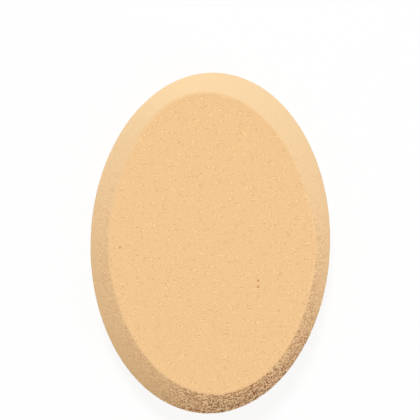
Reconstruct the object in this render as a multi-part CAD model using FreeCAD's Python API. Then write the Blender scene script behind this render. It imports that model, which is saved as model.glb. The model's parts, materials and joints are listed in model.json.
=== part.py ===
# Oval makeup sponge: one piece of cut foam, flat on both faces, with a bevel ground round each face.
# Millimetres. The back face lies on Z = 0, the long axis runs along Y, and the middle of the oval is at X = Y = 0.
import FreeCAD, Part
import math
import os

# Outline, measured round the rim
OUTLINE_LENGTH = 70.0
OUTLINE_WIDTH = 49.2

# Heights of the three bands that make the thickness, from the back up
BACK_BEVEL_HEIGHT = 4.6
RIM_HEIGHT = 1.8
FRONT_BEVEL_HEIGHT = 4.6

# How far each face stops short of the outline, at the ends and at the sides of the oval
FRONT_INSET_END = 4.4
FRONT_INSET_SIDE = 3.85
BACK_INSET_END = 4.2
BACK_INSET_SIDE = 3.95

# The front face was ground a little askew of the outline: positive is counter-clockwise seen from the front
FRONT_TURN_DEG = 5.0

# How far the middle of a bevel stands proud of a straight cut
BEVEL_CROWN = 0.3

# Foam edges are never sharp
FACE_EDGE_RADIUS = 0.9
RIM_EDGE_RADIUS = 0.6

BACK_Z = 0.0
RIM_LOW_Z = BACK_Z + BACK_BEVEL_HEIGHT
RIM_HIGH_Z = RIM_LOW_Z + RIM_HEIGHT
FRONT_Z = RIM_HIGH_Z + FRONT_BEVEL_HEIGHT


def oval(length, width, z, turn_deg):
    """Return a closed oval of four arcs, its long axis turned from Y and its corners kept on the part's own axes."""
    long_half, short_half, turn = length / 2.0, width / 2.0, math.radians(turn_deg)
    if width > length:
        long_half, short_half, turn = width / 2.0, length / 2.0, turn - math.pi / 2.0
    centre = FreeCAD.Vector(0.0, 0.0, z)
    along = FreeCAD.Vector(-math.sin(turn), math.cos(turn), 0.0)
    across = FreeCAD.Vector(-math.cos(turn), -math.sin(turn), 0.0)
    ellipse = Part.Ellipse(centre + along * long_half, centre + across * short_half, centre)
    # Starting where the part's Y axis meets the curve keeps the bevel from twisting between turned ovals
    start = math.atan2(-long_half * math.sin(turn), short_half * math.cos(turn))
    quarter = math.pi / 2.0
    arcs = [Part.ArcOfEllipse(ellipse, start + i * quarter, start + (i + 1) * quarter) for i in range(4)]
    return Part.Wire([arc.toShape() for arc in arcs])


def bevel(face_z, rim_z, inset_end, inset_side, turn_deg):
    """Return the band of foam between the rim and one face, slightly crowned between the two."""
    face = oval(OUTLINE_LENGTH - 2.0 * inset_end, OUTLINE_WIDTH - 2.0 * inset_side, face_z, turn_deg)
    middle = oval(
        OUTLINE_LENGTH - inset_end + 2.0 * BEVEL_CROWN,
        OUTLINE_WIDTH - inset_side + 2.0 * BEVEL_CROWN,
        (face_z + rim_z) / 2.0,
        turn_deg / 2.0,
    )
    outline = oval(OUTLINE_LENGTH, OUTLINE_WIDTH, rim_z, 0.0)
    return Part.makeLoft([outline, middle, face], True, False)


def edges_at(solid, z):
    """Return the edges of a solid that lie wholly at one height."""
    return [e for e in solid.Edges if abs(e.BoundBox.ZMin - z) < 1e-4 and abs(e.BoundBox.ZMax - z) < 1e-4]


def sponge_body():
    """Return the sponge: back bevel, rim and front bevel joined into one piece, then softened at every edge."""
    back = bevel(BACK_Z, RIM_LOW_Z, BACK_INSET_END, BACK_INSET_SIDE, 0.0)
    front = bevel(FRONT_Z, RIM_HIGH_Z, FRONT_INSET_END, FRONT_INSET_SIDE, FRONT_TURN_DEG)
    rim_face = Part.Face(oval(OUTLINE_LENGTH, OUTLINE_WIDTH, RIM_LOW_Z, 0.0))
    rim = rim_face.extrude(FreeCAD.Vector(0.0, 0.0, RIM_HEIGHT))
    body = back.fuse([rim, front]).removeSplitter()
    body = body.makeFillet(RIM_EDGE_RADIUS, edges_at(body, RIM_LOW_Z) + edges_at(body, RIM_HIGH_Z))
    return body.makeFillet(FACE_EDGE_RADIUS, edges_at(body, BACK_Z) + edges_at(body, FRONT_Z))


def export_solid(shape, node):
    """Write one named node as a single checked solid."""
    solids = shape.Solids
    if len(solids) != 1 or not solids[0].isValid():
        raise ValueError(f"{node} is not one valid solid: {len(solids)} found")
    solids[0].exportStep(f"parts/{node}.step")
    box = solids[0].BoundBox
    print(f"{node}: {box.XLength:.2f} x {box.YLength:.2f} x {box.ZLength:.2f} mm, {solids[0].Volume / 1000.0:.2f} cm3")


os.makedirs("parts", exist_ok=True)
export_solid(sponge_body(), "sponge_body")
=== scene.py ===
"""Dresses the oval makeup sponge: a foam body with its cells cut open, and a plain white studio round it.

Sizes are millimetres in every field and become metres where a mesh, a lamp or the camera is made.
"""

import json
import logging
import math
from dataclasses import dataclass
from enum import Enum
from typing import Any, Optional

import bmesh
import bpy
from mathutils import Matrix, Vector, noise

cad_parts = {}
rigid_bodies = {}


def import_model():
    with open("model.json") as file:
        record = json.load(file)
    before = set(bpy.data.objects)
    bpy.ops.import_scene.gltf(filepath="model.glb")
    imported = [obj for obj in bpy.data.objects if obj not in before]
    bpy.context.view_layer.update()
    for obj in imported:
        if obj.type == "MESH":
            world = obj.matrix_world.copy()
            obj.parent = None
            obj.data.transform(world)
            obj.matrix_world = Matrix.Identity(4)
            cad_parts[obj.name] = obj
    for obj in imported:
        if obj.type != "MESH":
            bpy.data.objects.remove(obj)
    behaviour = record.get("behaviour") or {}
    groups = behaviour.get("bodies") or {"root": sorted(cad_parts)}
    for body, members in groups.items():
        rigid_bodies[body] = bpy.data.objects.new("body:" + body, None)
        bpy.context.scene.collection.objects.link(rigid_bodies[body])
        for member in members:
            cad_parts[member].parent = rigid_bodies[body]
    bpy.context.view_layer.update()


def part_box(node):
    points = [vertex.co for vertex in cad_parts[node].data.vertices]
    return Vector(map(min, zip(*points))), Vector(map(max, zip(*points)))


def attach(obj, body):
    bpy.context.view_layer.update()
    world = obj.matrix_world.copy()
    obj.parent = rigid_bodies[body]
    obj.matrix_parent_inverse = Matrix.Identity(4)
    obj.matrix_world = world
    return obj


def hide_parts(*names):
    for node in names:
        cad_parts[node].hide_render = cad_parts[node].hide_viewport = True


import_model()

LOG = logging.getLogger("makeup_sponge")
MM = 0.001
IMAGE_PX = 420
# Vertex attributes that the foam's finish reads
GROUND = "ground"
TORN = "torn"
# How deep a point sits in an open cell or pit, which sets the painted shade there
HOLLOW_SHADE = "hollow_shade"
# The UV map that each half of the sponge is unrolled into, and the room it leaves round each half
BAKE_MAP = "OFBake"
MAP_MARGIN = 1.02
# The part of its range that a noise texture mostly fills
NOISE_LOW = 0.25
NOISE_HIGH = 0.75


class Side(Enum):
    """The two faces of the sponge, by the way each looks along Z."""

    FRONT = 1
    BACK = -1


class Zone(Enum):
    """The bands of one half of the sponge, from the middle of its face out to the rim."""

    FACE = "face"
    EDGE = "edge"
    BEVEL = "bevel"
    CORNER = "corner"
    RIM = "rim"


def linear(hex_colour: str) -> tuple[float, float, float, float]:
    """Turn an sRGB hex colour into linear light.

    Args:
        hex_colour: Six hex digits, with or without a leading hash.

    Returns:
        Linear red, green, blue and an alpha of one.
    """
    digits = hex_colour.lstrip("#")
    srgb = [int(digits[i:i + 2], 16) / 255.0 for i in (0, 2, 4)]
    red, green, blue = (c / 12.92 if c <= 0.04045 else ((c + 0.055) / 1.055) ** 2.4 for c in srgb)
    return red, green, blue, 1.0


def add_node(
    tree: bpy.types.NodeTree,
    kind: str,
    values: Optional[dict[Any, Any]] = None,
    links: Optional[dict[Any, bpy.types.NodeSocket]] = None,
    **settings: Any,
) -> bpy.types.Node:
    """Add one node with its settings, socket values and incoming links.

    Args:
        tree: The node tree that gets the node.
        kind: Blender's name for the node type.
        values: Input socket name or number, to the value set on it.
        links: Input socket name or number, to the output socket that feeds it.
        settings: The node's own properties.

    Returns:
        The new node.
    """
    node = tree.nodes.new(kind)
    for name, value in settings.items():
        setattr(node, name, value)
    for socket, value in (values or {}).items():
        node.inputs[socket].default_value = value
    for socket, source in (links or {}).items():
        tree.links.new(source, node.inputs[socket])
    return node


def per_metre(size_mm: float) -> float:
    """Return the texture scale at which one repeat of a pattern is this many millimetres."""
    return 1.0 / (size_mm * MM)


def nearness(angle: float, towards_deg: float, fade: int) -> float:
    """Return one towards a direction round the oval and less beside it, the less the higher the fade."""
    return max(0.0, math.cos(angle - math.radians(towards_deg))) ** fade


@dataclass(frozen=True)
class FoamMarks:
    """The sockets that say what one point of the foam is like."""

    ground: bpy.types.NodeSocket
    torn: bpy.types.NodeSocket
    # How deep the point sinks, which sets the painted shade in open cells and pits
    hollow_shade: bpy.types.NodeSocket
    # Painted light on ground foam: paler towards the lit far end
    lit_end_paling: bpy.types.NodeSocket
    flecks: bpy.types.NodeSocket
    cells: bpy.types.NodeSocket


@dataclass(frozen=True)
class FoamFinish:
    """Fine foam rubber, skived flat on its faces and ground open on its bevels.

    Skiving leaves a nearly closed, velvety face with faint flecks along the knife's stroke, in loose
    patches; their colour darkens in the cut cells as painted shade. Grinding tears the cells open, so a
    bevel
    is speckled: painted shade where the relief sinks and painted light on the pale walls where it rises,
    with the foam's own uneven tone, and the open cells darkest with painted shade. Ground foam is painted
    paler at the lit far end, along +Y, and warmer at the shaded near one. Nothing on it shines.
    """

    name: str = "peach_foam_rubber"
    face_hex: str = "#F4C892"
    ground_hex: str = "#F6CA93"
    # Painted light: the paler ground colour at the lit far end, where the key lamp falls
    lit_end_hex: str = "#ECCC9F"
    wall_hex: str = "#FFD6A6"
    # Painted shade: the colour of the deepest open cells and pits
    hollow_shade_hex: str = "#BC6E38"
    roughness: float = 0.94
    specular: float = 0.12
    ior: float = 1.45
    cell_mm: float = 0.22
    cell_layers: float = 2.0
    cell_contrast: float = 0.62
    cell_depth_mm: float = 0.05
    fleck_mm: float = 0.21
    fleck_layers: float = 1.0
    fleck_contrast: float = 0.27
    fleck_depth_mm: float = 0.02
    drawn_out: float = 1.5
    patch_mm: float = 1.0
    patch_layers: float = 1.0
    patch_low: float = 0.45
    patch_high: float = 0.65
    patch_least: float = 0.15
    # Painted light and shade: the length over which ground foam goes from warmer at the shaded near end to
    # paler at the lit far end
    lit_end_span_mm: float = 70.0

    def build(self) -> bpy.types.Material:
        """Make the foam's material.

        Returns:
            A node material on Object coordinates that reads the ground and torn attributes, and the depth
            attribute that sets the painted shade in open cells and pits.
        """
        material = bpy.data.materials.new(self.name)
        material.use_nodes = True
        tree = material.node_tree
        tree.nodes.clear()
        place = add_node(tree, "ShaderNodeTexCoord").outputs["Object"]
        marks = FoamMarks(
            *(
                add_node(tree, "ShaderNodeAttribute", attribute_name=name).outputs["Fac"]
                for name in (GROUND, TORN, HOLLOW_SHADE)
            ),
            lit_end_paling=self.lit_end_paling(tree, place),
            flecks=self.flecks(tree, place),
            cells=self.speckle(tree, place, self.cell_mm, self.cell_layers),
        )
        shader = add_node(
            tree,
            "ShaderNodeBsdfPrincipled",
            values={"Roughness": self.roughness, "Specular IOR Level": self.specular, "IOR": self.ior},
            links={"Base Color": self.colour(tree, marks), "Normal": self.relief(tree, marks)},
        )
        add_node(tree, "ShaderNodeOutputMaterial", links={"Surface": shader.outputs["BSDF"]})
        return material

    def speckle(
        self, tree: bpy.types.NodeTree, place: bpy.types.NodeSocket, size_mm: float, layers: float
    ) -> bpy.types.NodeSocket:
        """Wire a fine, even speckle.

        Args:
            tree: The material's node tree.
            place: The coordinates that it lies on.
            size_mm: How far apart its specks are.
            layers: How many finer layers it has.

        Returns:
            A socket that is about one on a pale speck and minus one on a dark one.
        """
        grain = add_node(
            tree,
            "ShaderNodeTexNoise",
            values={"Scale": per_metre(size_mm), "Detail": layers},
            links={"Vector": place},
        )
        signed = add_node(
            tree,
            "ShaderNodeMapRange",
            clamp=False,
            values={"From Min": NOISE_LOW, "From Max": NOISE_HIGH, "To Min": -1.0, "To Max": 1.0},
            links={"Value": grain.outputs["Fac"]},
        )
        return signed.outputs["Result"]

    def lit_end_paling(self, tree: bpy.types.NodeTree, place: bpy.types.NodeSocket) -> bpy.types.NodeSocket:
        """Wire the painted light on ground foam: how far it is painted paler towards the lit far end.

        Args:
            tree: The material's node tree.
            place: Object coordinates.

        Returns:
            A socket that goes from nothing at the near end of the sponge to one at the far end.
        """
        reach = self.lit_end_span_mm * MM / 2.0
        along = add_node(tree, "ShaderNodeSeparateXYZ", links={"Vector": place})
        lit_end_paling = add_node(
            tree,
            "ShaderNodeMapRange",
            values={"From Min": -reach, "From Max": reach},
            links={"Value": along.outputs["Y"]},
        )
        return lit_end_paling.outputs["Result"]

    def flecks(self, tree: bpy.types.NodeTree, place: bpy.types.NodeSocket) -> bpy.types.NodeSocket:
        """Wire the flecks that the knife leaves, in loose patches and drawn out along its stroke.

        Args:
            tree: The material's node tree.
            place: Object coordinates.

        Returns:
            A socket that is above nothing on a pale cell wall and below it in a cut cell; the colour
            follows it, so the cut cells carry painted shade.
        """
        drawn = add_node(
            tree,
            "ShaderNodeMapping",
            values={"Scale": (1.0 / self.drawn_out, 1.0, 1.0)},
            links={"Vector": place},
        ).outputs["Vector"]
        loose = add_node(
            tree,
            "ShaderNodeTexNoise",
            values={"Scale": per_metre(self.patch_mm), "Detail": self.patch_layers},
            links={"Vector": drawn},
        )
        patch = add_node(
            tree,
            "ShaderNodeMapRange",
            values={"From Min": self.patch_low, "From Max": self.patch_high, "To Min": self.patch_least},
            links={"Value": loose.outputs["Fac"]},
        )
        grain = self.speckle(tree, drawn, self.fleck_mm, self.fleck_layers)
        flecks = add_node(
            tree, "ShaderNodeMath", operation="MULTIPLY", links={0: grain, 1: patch.outputs["Result"]}
        )
        return flecks.outputs["Value"]

    def colour(self, tree: bpy.types.NodeTree, marks: FoamMarks) -> bpy.types.NodeSocket:
        """Wire the foam's colour: flecked faces, bevels painted paler towards the lit end, specks where
        torn, and painted shade in open cells and pits.

        Args:
            tree: The material's node tree.
            marks: What each point of the foam is like.

        Returns:
            The colour socket.
        """
        # Knife flecks: the face's uneven tone, with painted shade in the cut cells where the relief sinks
        flecked = add_node(
            tree,
            "ShaderNodeMath",
            operation="MULTIPLY_ADD",
            values={1: self.fleck_contrast, 2: 1.0},
            links={0: marks.flecks},
        )
        face = add_node(
            tree,
            "ShaderNodeMix",
            data_type="RGBA",
            blend_type="MULTIPLY",
            values={"Factor": 1.0, "A": linear(self.face_hex)},
            links={"B": flecked.outputs["Value"]},
        )
        # Painted light and shade: ground foam paler towards the lit far end, warmer towards the shaded near
        # end
        ground = add_node(
            tree,
            "ShaderNodeMix",
            data_type="RGBA",
            values={"A": linear(self.ground_hex), "B": linear(self.lit_end_hex)},
            links={"Factor": marks.lit_end_paling},
        )
        base = add_node(
            tree,
            "ShaderNodeMix",
            data_type="RGBA",
            links={"Factor": marks.ground, "A": face.outputs["Result"], "B": ground.outputs["Result"]},
        )
        walls = add_node(
            tree,
            "ShaderNodeMix",
            data_type="RGBA",
            values={"B": linear(self.wall_hex)},
            links={"Factor": marks.torn, "A": base.outputs["Result"]},
        )
        open_cells = add_node(
            tree, "ShaderNodeMath", operation="MULTIPLY", links={0: marks.cells, 1: marks.torn}
        )
        # Speckle on torn foam: painted shade where the cell relief sinks and painted light where it rises,
        # with the foam's uneven tone
        shade = add_node(
            tree,
            "ShaderNodeMath",
            operation="MULTIPLY_ADD",
            values={1: self.cell_contrast, 2: 1.0},
            links={0: open_cells.outputs["Value"]},
        )
        specked = add_node(
            tree,
            "ShaderNodeMix",
            data_type="RGBA",
            blend_type="MULTIPLY",
            values={"Factor": 1.0},
            links={"A": walls.outputs["Result"], "B": shade.outputs["Value"]},
        )
        # Painted shade: open cells and pits darkened by how deep they sink
        deep = add_node(
            tree,
            "ShaderNodeMix",
            data_type="RGBA",
            values={"B": linear(self.hollow_shade_hex)},
            links={"Factor": marks.hollow_shade, "A": specked.outputs["Result"]},
        )
        return deep.outputs["Result"]

    def relief(self, tree: bpy.types.NodeTree, marks: FoamMarks) -> bpy.types.NodeSocket:
        """Wire the relief that is too fine for the mesh: knife flecks, and cell walls on the bevels.

        Args:
            tree: The material's node tree.
            marks: What each point of the foam is like.

        Returns:
            The normal socket.
        """
        skived = add_node(
            tree,
            "ShaderNodeBump",
            values={"Distance": self.fleck_depth_mm * MM},
            links={"Height": marks.flecks},
        )
        torn = add_node(
            tree,
            "ShaderNodeBump",
            values={"Distance": self.cell_depth_mm * MM},
            links={"Height": marks.cells, "Strength": marks.torn, "Normal": skived.outputs["Normal"]},
        )
        return torn.outputs["Normal"]


@dataclass(frozen=True)
class FloorFinish:
    """Matt white paper. The camera sees it nearly white, with only a breath of the sponge's shadow."""

    name: str = "white_paper"
    paper_hex: str = "#FCFCFC"
    shadow_share: float = 0.12

    def build(self) -> bpy.types.Material:
        """Make the floor's material.

        Returns:
            Matt paper that seen rays mix with plain white.
        """
        material = bpy.data.materials.new(self.name)
        material.use_nodes = True
        tree = material.node_tree
        tree.nodes.clear()
        paper = add_node(tree, "ShaderNodeBsdfDiffuse", values={"Color": linear(self.paper_hex)})
        white = add_node(tree, "ShaderNodeEmission", values={"Strength": 1.0})
        mixed = add_node(
            tree,
            "ShaderNodeMixShader",
            values={0: self.shadow_share},
            links={1: white.outputs["Emission"], 2: paper.outputs["BSDF"]},
        )
        shown = add_node(
            tree,
            "ShaderNodeMixShader",
            links={0: seen_rays(tree), 1: paper.outputs["BSDF"], 2: mixed.outputs["Shader"]},
        )
        add_node(tree, "ShaderNodeOutputMaterial", links={"Surface": shown.outputs["Shader"]})
        return material


def seen_rays(tree: bpy.types.NodeTree) -> bpy.types.NodeSocket:
    """Wire a test for the rays that show the background.

    Args:
        tree: The floor's or the world's node tree.

    Returns:
        A socket that is one for a ray from the camera, a gloss or through glass.
    """
    path = add_node(tree, "ShaderNodeLightPath")
    gloss = add_node(
        tree,
        "ShaderNodeMath",
        operation="MAXIMUM",
        links={0: path.outputs["Is Camera Ray"], 1: path.outputs["Is Glossy Ray"]},
    )
    glass = add_node(
        tree,
        "ShaderNodeMath",
        operation="MAXIMUM",
        links={0: gloss.outputs["Value"], 1: path.outputs["Is Transmission Ray"]},
    )
    return glass.outputs["Value"]


@dataclass(frozen=True)
class Stretch:
    """One stretch of the sponge's section: a curve from start to end, drawn towards a third point."""

    start: Vector
    pull: Vector
    end: Vector

    def at(self, share: float) -> Vector:
        """Return the point a share of the way along."""
        return self.start.lerp(self.pull, share).lerp(self.pull.lerp(self.end, share), share)

    def between(self, first: float, last: float) -> "Stretch":
        """Return the part of the stretch between two shares of it."""
        pull = self.start.lerp(self.pull, first).lerp(self.pull.lerp(self.end, first), last)
        return Stretch(self.at(first), pull, self.at(last))

    @property
    def length(self) -> float:
        """The length, weighed between the straight way and the way round by the third point."""
        way_round = (self.pull - self.start).length + (self.end - self.pull).length
        return (2.0 * (self.end - self.start).length + way_round) / 3.0


@dataclass(frozen=True)
class Stray:
    """One place where a face's edge leaves its true oval.

    The edge lies further out there, or further in if out is negative, and it may be softer. The higher the
    fade, the sooner the edge is back on its oval to either side.
    """

    towards_deg: float
    out: float
    softer: float
    fade: int


@dataclass(frozen=True)
class Ramp:
    """A measure that changes evenly across a bevel."""

    at_face: float
    at_rim: float

    def at(self, across: float) -> float:
        """Return the measure at this share of the way from the face to the rim."""
        return self.at_face + (self.at_rim - self.at_face) * across


@dataclass(frozen=True)
class Bevel:
    """One ground bevel and the flat face inside it, as on the CAD solid.

    The least tearing is found all round, and calm is how much of it is missing at the far end. The most
    tearing and the worn crown come on top at the sponge's rough side and fade out round it. The face sinks
    a little behind its lip, and its edge strays from the oval in places.
    """

    inset_end: float
    inset_side: float
    height: float
    turn_deg: float
    crown: float = 0.22
    worn_crown: float = 0.15
    edge_soft: float = 0.3
    lip: float = 0.03
    lip_width: float = 0.6
    strays: tuple[Stray, ...] = (
        Stray(towards_deg=0.0, out=0.55, softer=0.0, fade=24),
        Stray(towards_deg=148.0, out=-0.9, softer=0.5, fade=10),
        Stray(towards_deg=-80.0, out=-0.15, softer=0.0, fade=6),
    )
    least_torn: Ramp = Ramp(at_face=0.27, at_rim=0.07)
    most_torn: Ramp = Ramp(at_face=0.5, at_rim=1.5)
    calm: float = 1.0


@dataclass(frozen=True)
class FoamCells:
    """Round voids scattered through the foam, as any cut through the block would open them."""

    spacing: float = 0.36
    smallest: float = 0.07
    largest: float = 0.25
    deepest: float = 0.3
    size_seed: float = 17.3
    nearest: int = 3

    def opening(self, point: Vector, normal: Vector) -> float:
        """Find how deep the voids open below one point of a cut surface.

        Args:
            point: A point of the surface, in millimetres.
            normal: The surface's outward direction there.

        Returns:
            The depth in millimetres, from nothing to the deepest.
        """
        _, centres = noise.voronoi(point / self.spacing)
        depth = 0.0
        for centre in centres[:self.nearest]:
            share = 0.5 + 0.5 * noise.cell(Vector(centre) * self.size_seed)
            radius = self.smallest + (self.largest - self.smallest) * share
            offset = point - Vector(centre) * self.spacing
            below = offset.dot(normal)
            inside = radius * radius - (offset.length_squared - below * below)
            if inside > 0.0:
                depth = max(depth, below + math.sqrt(inside))
        return min(depth, self.deepest)


@dataclass
class Sponge:
    """The whole sponge: one piece of foam, as two welded halves of mesh with cells cut open on the bevels.

    Its rough side was ground hardest, and torn foam comes and goes in patches. A face's edge holds: tearing
    grows with this power of the way across it. Where foam is torn, cell walls stand proud by the cell lift.
    """

    length: float
    width: float
    thickness: float
    front: Bevel = Bevel(inset_end=4.4, inset_side=3.85, height=4.6, turn_deg=5.0)
    back: Bevel = Bevel(
        inset_end=4.2,
        inset_side=3.95,
        height=4.6,
        turn_deg=0.0,
        lip=0.0,
        strays=(),
        least_torn=Ramp(at_face=0.2, at_rim=0.2),
        most_torn=Ramp(at_face=0.5, at_rim=0.5),
        calm=0.0,
    )
    rim_soft: float = 0.3
    rim_torn: float = 0.2
    rough_towards_deg: float = -65.0
    rough_fade: int = 6
    edge_holds: int = 4
    patch: float = 2.2
    patchiness: float = 0.45
    face_rings: int = 112
    edge_rings: int = 8
    bevel_rings: int = 46
    corner_rings: int = 8
    rim_rings: int = 6
    weld: float = 0.001
    cells: FoamCells = FoamCells()
    cell_lift: float = 0.12
    pits: tuple[tuple[float, float], ...] = ((9.9, -7.3), (9.9, -8.5), (-18.25, -1.4))
    pit_radius: float = 0.22
    pit_depth: float = 0.32
    finish: FoamFinish = FoamFinish()

    @property
    def middle_z(self) -> float:
        """The height of the line round the rim where the two halves meet."""
        return (self.back.height + self.thickness - self.front.height) / 2.0

    def rough(self, angle: float) -> float:
        """Return how roughly the sponge was ground at one angle round the oval: one at its rough side."""
        return nearness(angle, self.rough_towards_deg, self.rough_fade)

    def stations(self) -> list[tuple[Zone, float]]:
        """List the rings of one half, from the middle out.

        Returns:
            Each ring's zone and its share of the way across it.
        """
        counts = {
            Zone.FACE: self.face_rings,
            Zone.EDGE: self.edge_rings,
            Zone.BEVEL: self.bevel_rings,
            Zone.CORNER: self.corner_rings,
            Zone.RIM: self.rim_rings,
        }
        rings = [(Zone.FACE, 0.0)]
        for zone, count in counts.items():
            rings.extend((zone, (i + 1) / count) for i in range(count))
        return rings

    def oval(self, inset_end: float, inset_side: float, turn_deg: float, angle: float) -> Vector:
        """Find a point of an oval at one angle round the part.

        Args:
            inset_end: How far the oval stops short of the outline at its ends.
            inset_side: The same at its sides.
            turn_deg: The oval's turn, counter-clockwise seen from the front.
            angle: Where round the outline, from the X axis.

        Returns:
            The point, at height zero.
        """
        turn = math.radians(turn_deg)
        half_x, half_y = self.width / 2.0 - inset_side, self.length / 2.0 - inset_end
        heading = math.atan2(half_y * math.sin(angle), half_x * math.cos(angle)) - turn
        at = math.atan2(math.sin(heading) / half_y, math.cos(heading) / half_x)
        x, y = half_x * math.cos(at), half_y * math.sin(at)
        cos, sin = math.cos(turn), math.sin(turn)
        return Vector((x * cos - y * sin, x * sin + y * cos, 0.0))

    def section(self, side: Side, angle: float) -> dict[Zone, Stretch]:
        """Cut the smooth sponge at one angle round it.

        Args:
            side: Which half of the sponge.
            angle: Where round the outline, from the X axis.

        Returns:
            The stretch that each zone follows, from the middle of the face out to the rim.
        """
        bevel = self.front if side is Side.FRONT else self.back
        up = Vector((0.0, 0.0, float(side.value)))
        centre = Vector((0.0, 0.0, self.thickness if side is Side.FRONT else 0.0))
        strays = [(stray, nearness(angle, stray.towards_deg, stray.fade)) for stray in bevel.strays]
        outline = self.oval(0.0, 0.0, 0.0, angle)
        face = self.oval(bevel.inset_end, bevel.inset_side, bevel.turn_deg, angle)
        out = (outline - face).normalized()
        face = face + out * sum(stray.out * near for stray, near in strays)
        edge, corner = centre + face, centre + outline - up * bevel.height
        proud = (up * (outline - face).length + out * bevel.height).normalized()
        crown = bevel.crown + bevel.worn_crown * self.rough(angle)
        sharp = Stretch(edge, (edge + corner) / 2.0 + proud * (2.0 * crown), corner)
        soft = bevel.edge_soft + sum(stray.softer * near for stray, near in strays)
        cut = sharp.between(soft / sharp.length, 1.0 - self.rim_soft / sharp.length)
        inner, rim_end = edge - face.normalized() * soft, corner - up * self.rim_soft
        # The softened turns are drawn towards where the bevel, run on straight, meets the face and the rim
        to_face, to_rim = cut.start - cut.pull, cut.end - cut.pull
        face_turn = cut.start + to_face * ((centre.z - cut.start.z) / to_face.z)
        rim_turn = cut.end + to_rim * ((centre + outline - cut.end).dot(out) / to_rim.dot(out))
        middle = outline + Vector((0.0, 0.0, self.middle_z))
        return {
            Zone.FACE: Stretch(centre, (centre + inner) / 2.0, inner),
            Zone.EDGE: Stretch(inner, face_turn, cut.start),
            Zone.BEVEL: cut,
            Zone.CORNER: Stretch(cut.end, rim_turn, rim_end),
            Zone.RIM: Stretch(rim_end, (rim_end + middle) / 2.0, middle),
        }

    def place(self, side: Side, angle: float, zone: Zone, share: float) -> tuple[Vector, Vector, float]:
        """Find one point of the smooth cut surface.

        Args:
            side: Which half of the sponge.
            angle: Where round the outline, from the X axis.
            zone: Which band.
            share: How far across the band.

        Returns:
            The point, the same point unrolled flat for the bake, and how far it lies on ground foam.
        """
        bevel = self.front if side is Side.FRONT else self.back
        stretches = self.section(side, angle)
        point, inner = stretches[zone].at(share), stretches[Zone.FACE].end
        if zone is Zone.FACE:
            behind = (inner - point).length / bevel.lip_width
            sunk = bevel.lip * (1.0 - math.exp(-behind * behind))
            return point - Vector((0.0, 0.0, side.value * sunk)), point.xy, 0.0
        zones = list(stretches)
        run = share * stretches[zone].length
        run += sum(stretches[passed].length for passed in zones[1:zones.index(zone)])
        out = (stretches[Zone.RIM].end.xy - inner.xy).normalized()
        return point, inner.xy + out * run, share if zone is Zone.EDGE else 1.0

    def torn(self, side: Side, angle: float, zone: Zone, share: float, point: Vector) -> float:
        """Find how roughly one point of ground foam is torn.

        Args:
            side: Which half of the sponge.
            angle: Where round the outline, from the X axis.
            zone: Which band.
            share: How far across the band.
            point: The point, for the patches that tear more or less than their neighbours.

        Returns:
            Nothing where no cell is torn, one where all are torn open, and more where they are gouged out.
        """
        bevel = self.front if side is Side.FRONT else self.back
        across = {Zone.BEVEL: share, Zone.CORNER: 1.0 - share}.get(zone, 0.0)
        least = bevel.least_torn.at(across) * (1.0 - bevel.calm * max(0.0, math.sin(angle)))
        worn = bevel.most_torn.at(across) * self.rough(angle)
        if zone is Zone.CORNER:
            least += (self.rim_torn - least) * share
        elif zone is Zone.RIM:
            least = self.rim_torn
        patch = 1.0 + self.patchiness * noise.noise(point / self.patch)
        return patch * (least + (1.0 - least) * worn)

    def half(self, body: bmesh.types.BMesh, side: Side) -> None:
        """Add one half of the sponge: a square grid drawn into rings that follow the oval.

        Args:
            body: The mesh that gets the half.
            side: Which half.
        """
        rings = self.stations()
        count = len(rings) - 1
        made = bmesh.ops.create_grid(body, x_segments=2 * count, y_segments=2 * count, size=1.0)
        verts = made["verts"]
        flat_map = body.loops.layers.uv[BAKE_MAP]
        ground, torn = body.verts.layers.float[GROUND], body.verts.layers.float[TORN]
        flats = {}
        for vert in verts:
            across, along = vert.co.xy
            zone, share = rings[round(max(abs(across), abs(along)) * count)]
            angle = ring_angle(across, along)
            vert.co, flats[vert], vert[ground] = self.place(side, angle, zone, share)
            vert[torn] = vert[ground] ** self.edge_holds * self.torn(side, angle, zone, share, vert.co)
        # The halves of the sponge lie side by side in the map, each a quarter of it off the middle
        span = 4.0 * MAP_MARGIN * max(abs(flat.x) for flat in flats.values())
        for face in {f for v in verts for f in v.link_faces}:
            if side is Side.BACK:
                face.normal_flip()
            for loop in face.loops:
                flat = flats[loop.vert] / span
                loop[flat_map].uv = (0.5 - 0.25 * side.value + flat.x, 0.5 + flat.y)

    def open_cells(self, body: bmesh.types.BMesh) -> None:
        """Sink each point of torn foam that lies in an open cell, and the open pits of the front face.

        Args:
            body: The welded mesh, still smooth.
        """
        torn, hollow_shade = body.verts.layers.float[TORN], body.verts.layers.float[HOLLOW_SHADE]
        full = self.cells.deepest - self.cell_lift
        body.normal_update()
        for vert in body.verts:
            depth = 0.0
            if vert[torn] > 0.0:
                depth = vert[torn] * (self.cells.opening(vert.co, vert.normal) - self.cell_lift)
                # The share of the deepest sink, which the finish darkens as painted shade
                vert[hollow_shade] = min(1.0, max(0.0, depth / full))
            elif vert.co.z > self.middle_z:
                off = min((vert.co.xy - Vector(pit)).length for pit in self.pits) / self.pit_radius
                # How deep the pit sinks here, which the finish darkens as painted shade
                vert[hollow_shade] = max(0.0, 1.0 - off * off)
                depth = self.pit_depth * vert[hollow_shade]
            vert.co = vert.co - vert.normal * depth

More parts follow.
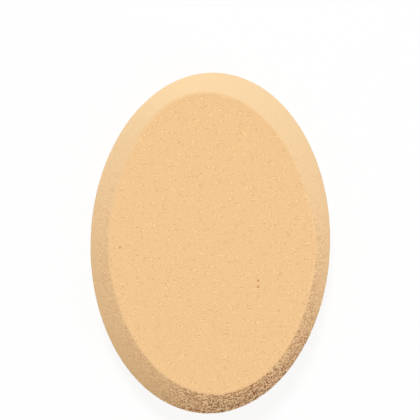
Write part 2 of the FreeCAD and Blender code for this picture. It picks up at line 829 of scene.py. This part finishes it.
    def build(self) -> bpy.types.Object:
        """Make the sponge in place of its CAD solid.

        Returns:
            The finished, declared piece.
        """
        body = bmesh.new()
        for name in (GROUND, TORN, HOLLOW_SHADE):
            body.verts.layers.float.new(name)
        body.loops.layers.uv.new(BAKE_MAP)
        for side in Side:
            self.half(body, side)
        bmesh.ops.remove_doubles(body, verts=body.verts, dist=self.weld)
        self.open_cells(body)
        bmesh.ops.scale(body, vec=(MM, MM, MM), verts=body.verts)
        for face in body.faces:
            face.smooth = True
        mesh = bpy.data.meshes.new("foam_body")
        body.to_mesh(mesh)
        body.free()
        mesh.materials.append(self.finish.build())
        piece = bpy.data.objects.new("foam_body", mesh)
        bpy.context.scene.collection.objects.link(piece)
        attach(piece, "root")
        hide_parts("sponge_body")
        LOG.info("foam_body: %d faces", len(mesh.polygons))
        return piece


def ring_angle(across: float, along: float) -> float:
    """Find the angle of one point on a square ring, spread evenly over the ring's four sides.

    Args:
        across: The point's place along X.
        along: Its place along Y.

    Returns:
        The angle from the X axis.
    """
    eighth = math.pi / 4.0
    if abs(across) < abs(along):
        return math.copysign(2.0 * eighth, along) - eighth * across / along
    turn = eighth * along / across if across else 0.0
    return turn if across >= 0.0 else turn + math.pi


@dataclass(frozen=True)
class Lamp:
    """One square studio lamp that looks at the sponge.

    Its level is the share of a white card's brightness that it gives, face on.
    """

    name: str
    heading_deg: float
    height_deg: float
    distance: float
    size: float
    level: float

    def build(self, target: Vector) -> bpy.types.Object:
        """Hang the lamp.

        Args:
            target: The point that it looks at, in metres.

        Returns:
            The lamp.
        """
        heading, height = math.radians(self.heading_deg), math.radians(self.height_deg)
        away = Vector((
            math.cos(height) * math.cos(heading), math.cos(height) * math.sin(heading), math.sin(height)
        ))
        data = bpy.data.lights.new(self.name, "AREA")
        data.shape = "SQUARE"
        data.size = self.size * MM
        data.energy = self.level * (math.pi * self.distance * MM) ** 2
        lamp = bpy.data.objects.new(self.name, data)
        lamp.location = target + away * (self.distance * MM)
        lamp.rotation_euler = away.to_track_quat("Z", "Y").to_euler()
        bpy.context.scene.collection.objects.link(lamp)
        LOG.info("%s: level %.2f", self.name, self.level)
        return lamp


@dataclass
class Studio:
    """A white floor and room, soft lamps and the camera that looks straight down on the sponge.

    The span of the frame is the width that the picture shows at the top of the rim. The camera leans in its
    own plane, so that the sponge leans in the picture.
    """

    frame_span: float = 86.24
    camera_height: float = 300.0
    rim_top: float = 6.4
    lean_deg: float = 1.727
    sponge_right_px: float = 0.30
    sponge_below_px: float = 33.0
    sensor: float = 36.0
    clip_start: float = 10.0
    floor_radius: float = 1500.0
    floor_sides: int = 96
    sky_hex: str = "#FFFFFF"
    sky_level: float = 0.43
    shown_level: float = 1.0
    lamps: tuple[Lamp, ...] = (
        Lamp("key_lamp", heading_deg=100.0, height_deg=50.0, distance=3000.0, size=750.0, level=0.66),
        Lamp("side_lamp", heading_deg=330.0, height_deg=20.0, distance=3000.0, size=750.0, level=0.19),
    )
    floor_finish: FloorFinish = FloorFinish()

    def camera(self) -> bpy.types.Object:
        """Hang the camera over the sponge and frame it as the photograph does.

        Returns:
            The scene's camera.
        """
        data = bpy.data.cameras.new("camera")
        data.sensor_width = self.sensor
        data.lens = self.sensor * (self.camera_height - self.rim_top) / self.frame_span
        data.clip_start = self.clip_start * MM
        lean = math.radians(self.lean_deg)
        right = Vector((math.cos(lean), math.sin(lean), 0.0))
        up = Vector((-math.sin(lean), math.cos(lean), 0.0))
        pixel = self.frame_span / IMAGE_PX
        centre = up * (self.sponge_below_px * pixel) - right * (self.sponge_right_px * pixel)
        camera = bpy.data.objects.new("camera", data)
        camera.location = (centre + Vector((0.0, 0.0, self.camera_height))) * MM
        camera.rotation_euler = (0.0, 0.0, lean)
        bpy.context.scene.collection.objects.link(camera)
        bpy.context.scene.camera = camera
        return camera

    def floor(self) -> bpy.types.Object:
        """Lay the white paper that the sponge rests on.

        Returns:
            The floor.
        """
        sheet = bmesh.new()
        bmesh.ops.create_circle(
            sheet, cap_ends=True, segments=self.floor_sides, radius=self.floor_radius * MM
        )
        mesh = bpy.data.meshes.new("floor")
        sheet.to_mesh(mesh)
        sheet.free()
        mesh.materials.append(self.floor_finish.build())
        floor = bpy.data.objects.new("floor", mesh)
        bpy.context.scene.collection.objects.link(floor)
        return floor

    def sky(self) -> bpy.types.World:
        """Make the even white surround: plain white to the eye, and a soft fill on the sponge.

        Returns:
            The scene's world.
        """
        world = bpy.data.worlds.new("white_room")
        world.use_nodes = True
        tree = world.node_tree
        tree.nodes.clear()
        fill, white = (
            add_node(
                tree, "ShaderNodeBackground", values={"Color": linear(self.sky_hex), "Strength": level}
            )
            for level in (self.sky_level, self.shown_level)
        )
        shown = add_node(
            tree,
            "ShaderNodeMixShader",
            links={0: seen_rays(tree), 1: fill.outputs["Background"], 2: white.outputs["Background"]},
        )
        add_node(tree, "ShaderNodeOutputWorld", links={"Surface": shown.outputs["Shader"]})
        bpy.context.scene.world = world
        return world

    def build(self) -> None:
        """Set the whole studio up round the sponge."""
        self.floor()
        self.sky()
        for lamp in self.lamps:
            lamp.build(Vector((0.0, 0.0, self.rim_top * MM)))
        self.camera()
        bpy.context.scene.view_settings.view_transform = "Standard"


def main() -> None:
    """Build the sponge, then the studio round it."""
    logging.basicConfig(level=logging.INFO, format="%(name)s: %(message)s")
    low, high = (Vector(corner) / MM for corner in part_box("sponge_body"))
    size = high - low
    Sponge(length=size.y, width=size.x, thickness=size.z).build()
    Studio().build()


if __name__ == "__main__":
    main()
